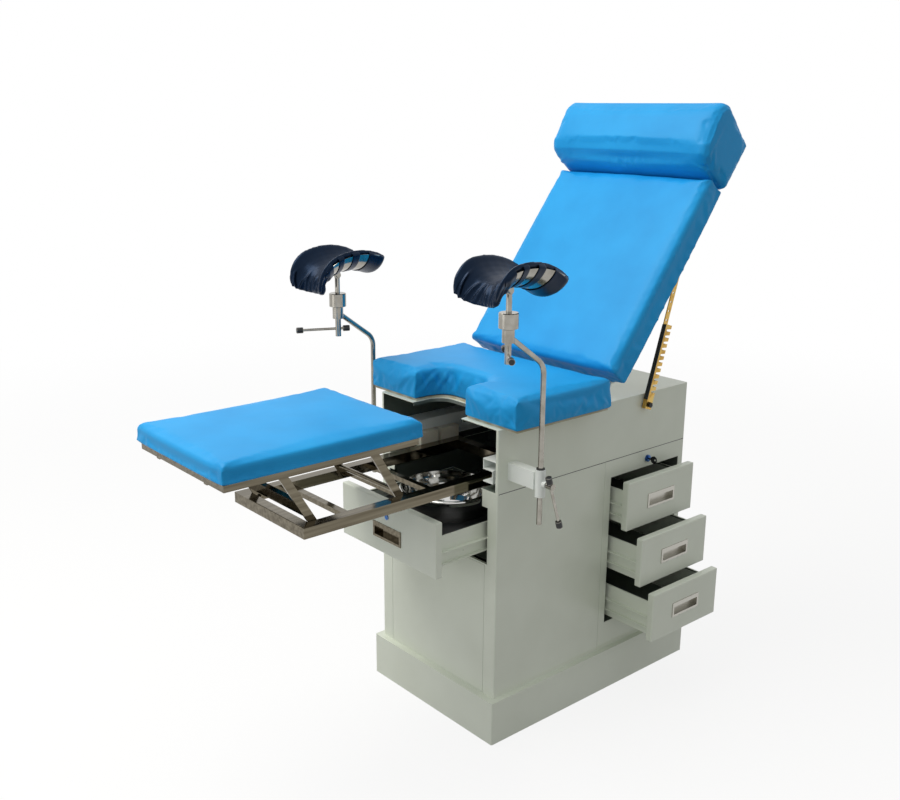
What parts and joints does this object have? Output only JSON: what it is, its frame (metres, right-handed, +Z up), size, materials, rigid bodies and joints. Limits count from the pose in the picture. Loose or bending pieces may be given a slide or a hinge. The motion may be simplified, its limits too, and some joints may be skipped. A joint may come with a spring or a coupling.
{
  "type": "gynaecological examination table",
  "caption": "Examination table on a steel cabinet with drawers, wash basin, notched seat, reclining back, pull-out swing-link leg rest and knee crutches.",
  "frame": {"origin": "middle of the plinth's underside", "axes": "+Z up, -Y towards the foot end, +X towards the side drawers"},
  "size_m": [0.7946, 1.5466, 1.5485],
  "materials": {
    "enamel": "satin baked enamel on sheet steel",
    "bracket_enamel": "satin baked enamel, a little whiter",
    "vinyl": "coated vinyl upholstery, low sheen",
    "black_leather": "black artificial leather, soft sheen",
    "stainless": "polished stainless steel",
    "basin_steel": "mirror-bright pressed stainless steel",
    "zinc": "yellow passivated zinc plate",
    "galvanised": "bright zinc-plated runners",
    "black_plastic": "moulded black plastic",
    "nylon": "natural nylon",
    "board": "plywood",
    "blackened_steel": "blackened steel bolts",
    "chrome_lock": "bright chrome plate"
  },
  "bodies": {
    "cabinet": {"plinth": "enamel", "lower_cabinet": "enamel", "front_panel": "enamel", "inner_frame": "enamel", "upper_box": "enamel", "frame_guides": "bracket_enamel", "seat_board": "board", "seat_cushion": "vinyl", "stirrup_brackets": "bracket_enamel", "hinge_brackets": "bracket_enamel", "pivot_pins": "blackened_steel", "front_drawer_runners": "galvanised", "side_drawer_runners": "galvanised", "drawer_lock": "chrome_lock"},
    "key": {"lock_key": "chrome_lock"},
    "leg_frame": {"leg_slide_frame": "stainless", "frame_glides": "nylon"},
    "foot_link_pair": {"foot_links": "stainless"},
    "head_link_pair": {"head_links": "stainless"},
    "leg_rest": {"leg_subframe": "stainless", "leg_cushion": "vinyl"},
    "backrest": {"backrest_frame": "enamel", "backrest_cushion": "vinyl", "head_pillow": "vinyl"},
    "strut_channel_pair": {"strut_channels": "zinc"},
    "strut_bar_pair": {"strut_bars": "zinc"},
    "front_drawer": {"front_drawer_box": "enamel", "front_drawer_front": "enamel", "front_drawer_handle": "stainless", "basin_tray": "black_plastic"},
    "basin": {"wash_basin": "basin_steel"},
    "side_drawer_1": {"side_drawer_1_box": "enamel", "side_drawer_1_front": "enamel", "side_drawer_1_handle": "stainless"},
    "side_drawer_2": {"side_drawer_2_box": "enamel", "side_drawer_2_front": "enamel", "side_drawer_2_handle": "stainless"},
    "side_drawer_3": {"side_drawer_3_box": "enamel", "side_drawer_3_front": "enamel", "side_drawer_3_handle": "stainless"},
    "right_bush": {"right_rod_bush": "black_plastic"},
    "right_rod": {"right_rod_shaft": "stainless", "right_stirrup_rod": "stainless"},
    "right_stem_body": {"right_stem": "stainless"},
    "right_crutch": {"right_crutch_plate": "stainless", "right_crutch_pad": "black_leather"},
    "right_clamp_screw": {"right_crutch_screw": "stainless"},
    "right_clamp_bar": {"right_crutch_bar": "black_plastic"},
    "right_boss_screw": {"right_bracket_screw": "stainless"},
    "right_boss_bar": {"right_bracket_bar": "black_plastic"},
    "left_bush": {"left_rod_bush": "black_plastic"},
    "left_rod": {"left_rod_shaft": "stainless", "left_stirrup_rod": "stainless"},
    "left_stem_body": {"left_stem": "stainless"},
    "left_crutch": {"left_crutch_plate": "stainless", "left_crutch_pad": "black_leather"},
    "left_clamp_screw": {"left_crutch_screw": "stainless"},
    "left_clamp_bar": {"left_crutch_bar": "black_plastic"},
    "left_boss_screw": {"left_bracket_screw": "stainless"},
    "left_boss_bar": {"left_bracket_bar": "black_plastic"}
  },
  "joints": [
    {"name": "lock_key_turn", "type": "hinge", "parent": "cabinet", "child": "key", "pos_m": [0.23, 0.19, 0.633], "axis": [1, 0, 0], "range_deg": [-90, 0]},
    {"name": "leg_frame_slide", "type": "slide", "parent": "cabinet", "child": "leg_frame", "axis": [0, 1, 0], "range_m": [-0.06, 0.09]},
    {"name": "leg_link_fold", "type": "hinge", "parent": "leg_frame", "child": "foot_link_pair", "pos_m": [0, -0.803, 0.665], "axis": [-1, 0, 0], "range_deg": [0, 31]},
    {"name": "head_link_follow", "type": "hinge", "parent": "leg_frame", "child": "head_link_pair", "pos_m": [0, -0.564, 0.665], "axis": [-1, 0, 0], "range_deg": [0, 31]},
    {"name": "leg_rest_level", "type": "hinge", "parent": "foot_link_pair", "child": "leg_rest", "pos_m": [0, -0.89571, 0.81929], "axis": [-1, 0, 0], "range_deg": [-31, 0]},
    {"name": "backrest_recline", "type": "hinge", "parent": "cabinet", "child": "backrest", "pos_m": [0, -0.004, 0.842], "axis": [1, 0, 0], "range_deg": [-52.5, 5]},
    {"name": "strut_channel_swing", "type": "hinge", "parent": "cabinet", "child": "strut_channel_pair", "pos_m": [0, 0.165, 0.79], "axis": [1, 0, 0], "range_deg": [-68, 7]},
    {"name": "strut_bar_swing", "type": "hinge", "parent": "backrest", "child": "strut_bar_pair", "pos_m": [0, 0.28404, 1.16934], "axis": [1, 0, 0], "range_deg": [-15, 2]},
    {"name": "front_drawer_slide", "type": "slide", "parent": "cabinet", "child": "front_drawer", "axis": [0, -1, 0], "range_m": [-0.157, 0.14]},
    {"name": "basin_lift", "type": "slide", "parent": "front_drawer", "child": "basin", "axis": [0, 0, 1], "range_m": [0, 0.03]},
    {"name": "side_drawer_1_slide", "type": "slide", "parent": "cabinet", "child": "side_drawer_1", "axis": [1, 0, 0], "range_m": [-0.057, 0.293]},
    {"name": "side_drawer_2_slide", "type": "slide", "parent": "cabinet", "child": "side_drawer_2", "axis": [1, 0, 0], "range_m": [-0.112, 0.238]},
    {"name": "side_drawer_3_slide", "type": "slide", "parent": "cabinet", "child": "side_drawer_3", "axis": [1, 0, 0], "range_m": [-0.159, 0.191]},
    {"name": "right_crutch_swing", "type": "hinge", "parent": "cabinet", "child": "right_bush", "pos_m": [0.32, -0.318, 0.7], "axis": [0, 0, 1], "range_deg": [-90, 90]},
    {"name": "right_rod_height", "type": "slide", "parent": "right_bush", "child": "right_rod", "axis": [0, 0, 1], "range_m": [-0.08, 0.065]},
    {"name": "right_stem_swivel", "type": "hinge", "parent": "right_rod", "child": "right_stem_body", "pos_m": [0.32, -0.43, 1.11837], "axis": [0, 0, 1], "range_deg": [-90, 90]},
    {"name": "right_crutch_tilt", "type": "hinge", "parent": "right_stem_body", "child": "right_crutch", "pos_m": [0.32, -0.43, 1.16537], "axis": [1, 0, 0], "range_deg": [-31.5, 18.5]},
    {"name": "right_crutch_screw_turn", "type": "hinge", "parent": "right_rod", "child": "right_clamp_screw", "pos_m": [0.32, -0.43, 1.05237], "axis": [0, 0, 1], "range_deg": [-25, 90]},
    {"name": "right_crutch_bar_slide", "type": "slide", "parent": "right_clamp_screw", "child": "right_clamp_bar", "axis": [0.7986, -0.6018, 0], "range_m": [-0.0447, 0.0447]},
    {"name": "right_bracket_screw_turn", "type": "hinge", "parent": "cabinet", "child": "right_boss_screw", "pos_m": [0.335, -0.318, 0.706], "axis": [1, 0, 0], "range_deg": [-180, 180]},
    {"name": "right_bracket_bar_slide", "type": "slide", "parent": "right_boss_screw", "child": "right_boss_bar", "axis": [0, 0.309, -0.9511], "range_m": [-0.0891, 0]},
    {"name": "left_crutch_swing", "type": "hinge", "parent": "cabinet", "child": "left_bush", "pos_m": [-0.32, -0.318, 0.7], "axis": [0, 0, 1], "range_deg": [-90, 90]},
    {"name": "left_rod_height", "type": "slide", "parent": "left_bush", "child": "left_rod", "axis": [0, 0, 1], "range_m": [-0.04, 0.105]},
    {"name": "left_stem_swivel", "type": "hinge", "parent": "left_rod", "child": "left_stem_body", "pos_m": [-0.32, -0.43, 1.07437], "axis": [0, 0, 1], "range_deg": [-90, 90]},
    {"name": "left_crutch_tilt", "type": "hinge", "parent": "left_stem_body", "child": "left_crutch", "pos_m": [-0.32, -0.43, 1.12137], "axis": [1, 0, 0], "range_deg": [-44, 6]},
    {"name": "left_crutch_screw_turn", "type": "hinge", "parent": "left_rod", "child": "left_clamp_screw", "pos_m": [-0.32, -0.43, 1.00837], "axis": [0, 0, 1], "range_deg": [-135, 0]},
    {"name": "left_crutch_bar_slide", "type": "slide", "parent": "left_clamp_screw", "child": "left_clamp_bar", "axis": [0.4067, 0.9135, 0], "range_m": [-0.0047, 0.0847]},
    {"name": "left_bracket_screw_turn", "type": "hinge", "parent": "cabinet", "child": "left_boss_screw", "pos_m": [-0.335, -0.318, 0.706], "axis": [1, 0, 0], "range_deg": [-180, 180]},
    {"name": "left_bracket_bar_slide", "type": "slide", "parent": "left_boss_screw", "child": "left_boss_bar", "axis": [0, 0.309, -0.9511], "range_m": [-0.0891, 0]}
  ],
  "couplings": [
    {"joint": "head_link_follow", "follows": "leg_link_fold", "ratio": 1},
    {"joint": "leg_rest_level", "follows": "leg_link_fold", "ratio": -1},
    {"joint": "strut_channel_swing", "follows": "backrest_recline", "ratio": 1.28},
    {"joint": "strut_bar_swing", "follows": "backrest_recline", "ratio": 0.28}
  ]
}
